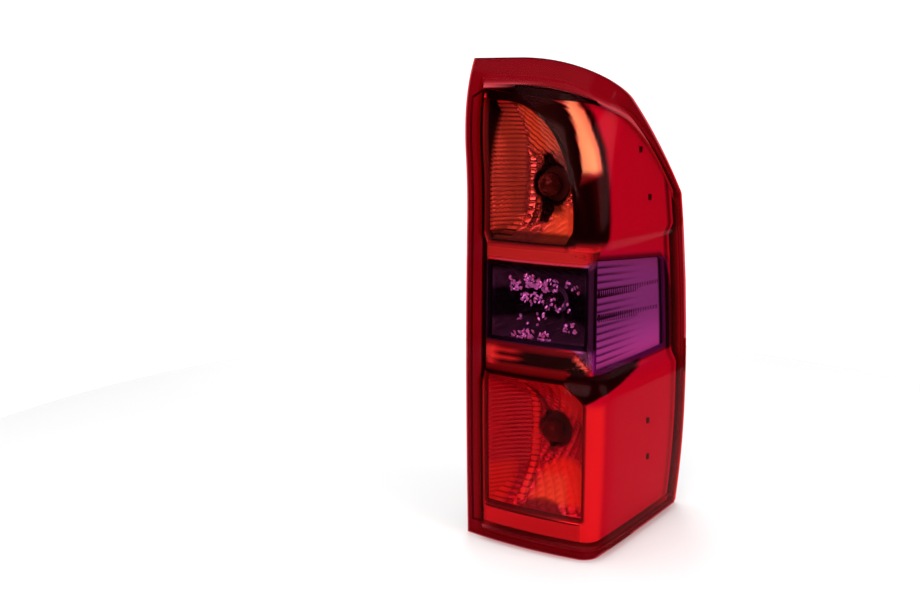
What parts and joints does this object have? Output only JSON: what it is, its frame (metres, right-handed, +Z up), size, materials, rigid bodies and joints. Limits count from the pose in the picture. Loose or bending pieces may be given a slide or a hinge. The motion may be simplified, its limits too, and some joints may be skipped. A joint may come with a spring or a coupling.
{
  "type": "tail light cluster",
  "caption": "Tall wrap-around tail light cluster for one rear corner of a car: red lens with a violet middle part, faceted reflectors, rear housing, seal and sheet brackets.",
  "frame": {"origin": "lower inner corner of the lens, on the outer face of its bottom edge", "axes": "+X outboard across the rear face, +Y forward into the car, +Z up the lens; the lamp stands on the bottom edge of its lens"},
  "size_m": [0.1735, 0.2229, 0.4999],
  "materials": {
    "red_lens": "clear red moulded acrylic, polished",
    "violet_lens": "violet-tinted clear acrylic, polished",
    "bright_trim": "aluminised plastic",
    "ribbed_panel": "aluminised ribbed plastic",
    "reflector": "aluminised faceted plastic",
    "bulb_glass": "clear glass",
    "amber_glass": "amber glass",
    "holder_black": "moulded, satin",
    "holder_grey": "moulded, satin",
    "ring_rubber": "moulded ring seal",
    "housing_black": "moulded, fine grain",
    "backing_tan": "tan seal carrier, satin",
    "foam_black": "closed-cell foam",
    "bracket_steel": "zinc-plated sheet",
    "screw_steel": "zinc-plated",
    "pin_grey": "turned, zinc-plated",
    "lead_black": "taped leads",
    "connector_black": "moulded",
    "vent_rubber": "moulded"
  },
  "bodies": {
    "root": {"lens_red": "red_lens", "lens_middle": "violet_lens", "trim_frame": "bright_trim", "side_fluting": "ribbed_panel", "upper_reflector": "reflector", "middle_reflector": "reflector", "lower_reflector": "reflector", "side_reflector": "reflector", "upper_bulb": "bulb_glass", "middle_bulb": "bulb_glass", "lower_bulb": "bulb_glass", "side_bulb": "amber_glass", "upper_holder": "holder_black", "middle_holder": "holder_grey", "lower_holder": "holder_black", "side_holder": "holder_grey", "holder_seals": "ring_rubber", "housing": "housing_black", "seal_backing": "backing_tan", "foam_seal": "foam_black", "upper_bracket": "bracket_steel", "lower_bracket": "bracket_steel", "bracket_screws": "screw_steel", "locating_pins": "pin_grey", "harness": "lead_black", "connector": "connector_black", "vent_caps": "vent_rubber"}
  },
  "joints": []
}
